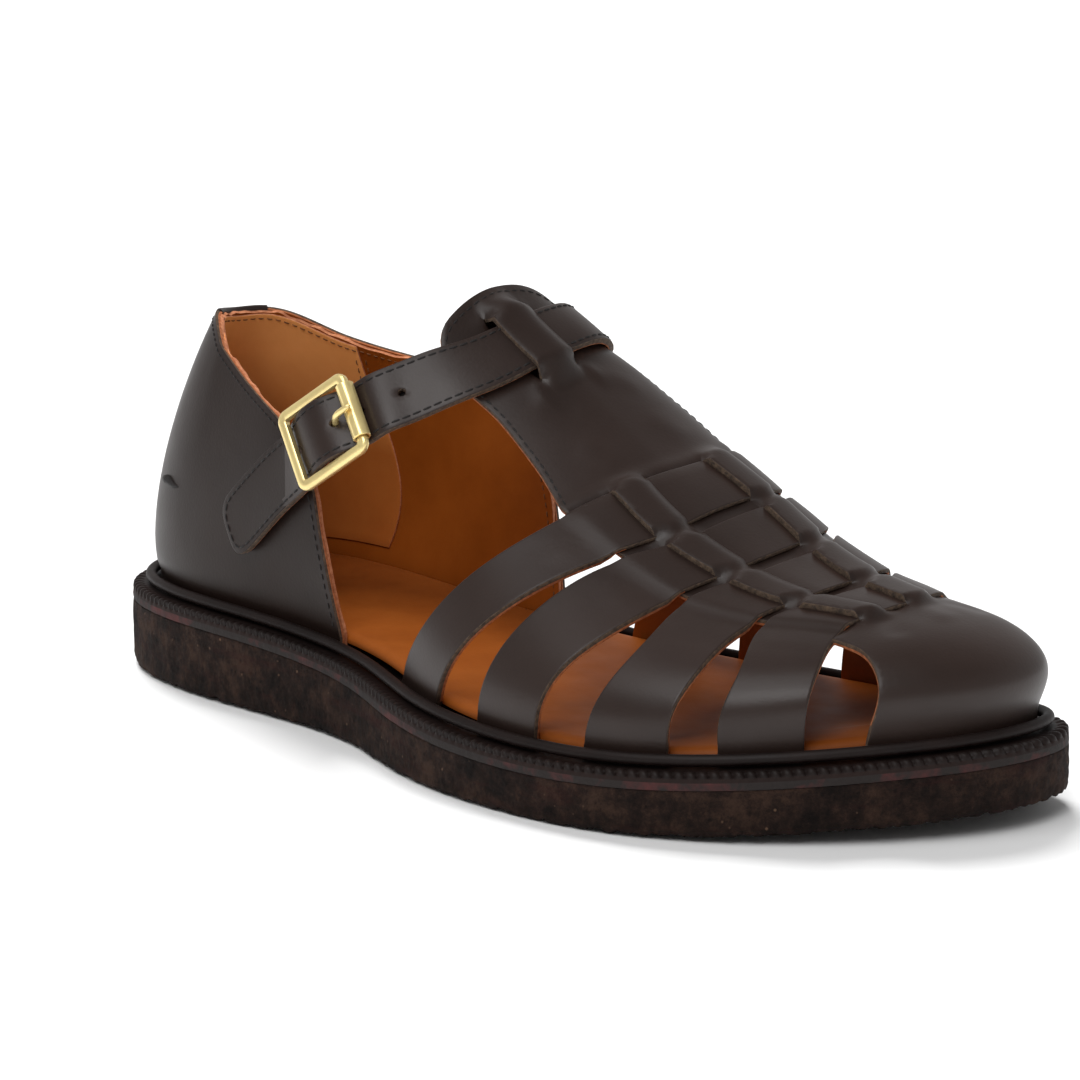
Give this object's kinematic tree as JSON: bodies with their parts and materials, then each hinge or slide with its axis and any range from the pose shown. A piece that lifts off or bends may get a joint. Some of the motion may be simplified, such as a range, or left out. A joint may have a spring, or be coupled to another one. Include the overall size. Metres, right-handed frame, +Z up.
{
  "type": "fisherman sandal",
  "caption": "Closed-toe leather sandal with a woven strap front, T-bar, buckled ankle strap and a thick crepe sole.",
  "frame": {"origin": "centre of the plan box, on the floor under the sole", "axes": "+X towards the toe, +Y towards the inner (medial) side, -Y towards the outer side with the buckle, +Z up"},
  "size_m": [0.2626, 0.1028, 0.1],
  "materials": {
    "dark_leather": "smooth dark-brown waxed leather, soft sheen",
    "tan_leather": "natural orange-tan vegetable leather, matt",
    "crepe_rubber": "rough dark-brown plantation crepe",
    "welt_rubber": "ribbed black-brown welting",
    "brass": "polished brass"
  },
  "bodies": {
    "root": {"upper": "dark_leather", "ankle_strap": "dark_leather", "buckle_tab": "dark_leather", "insole": "tan_leather", "outsole": "crepe_rubber", "welt": "welt_rubber", "rand": "welt_rubber", "buckle_frame": "brass", "buckle_roller": "brass", "buckle_prong": "brass"}
  },
  "joints": []
}
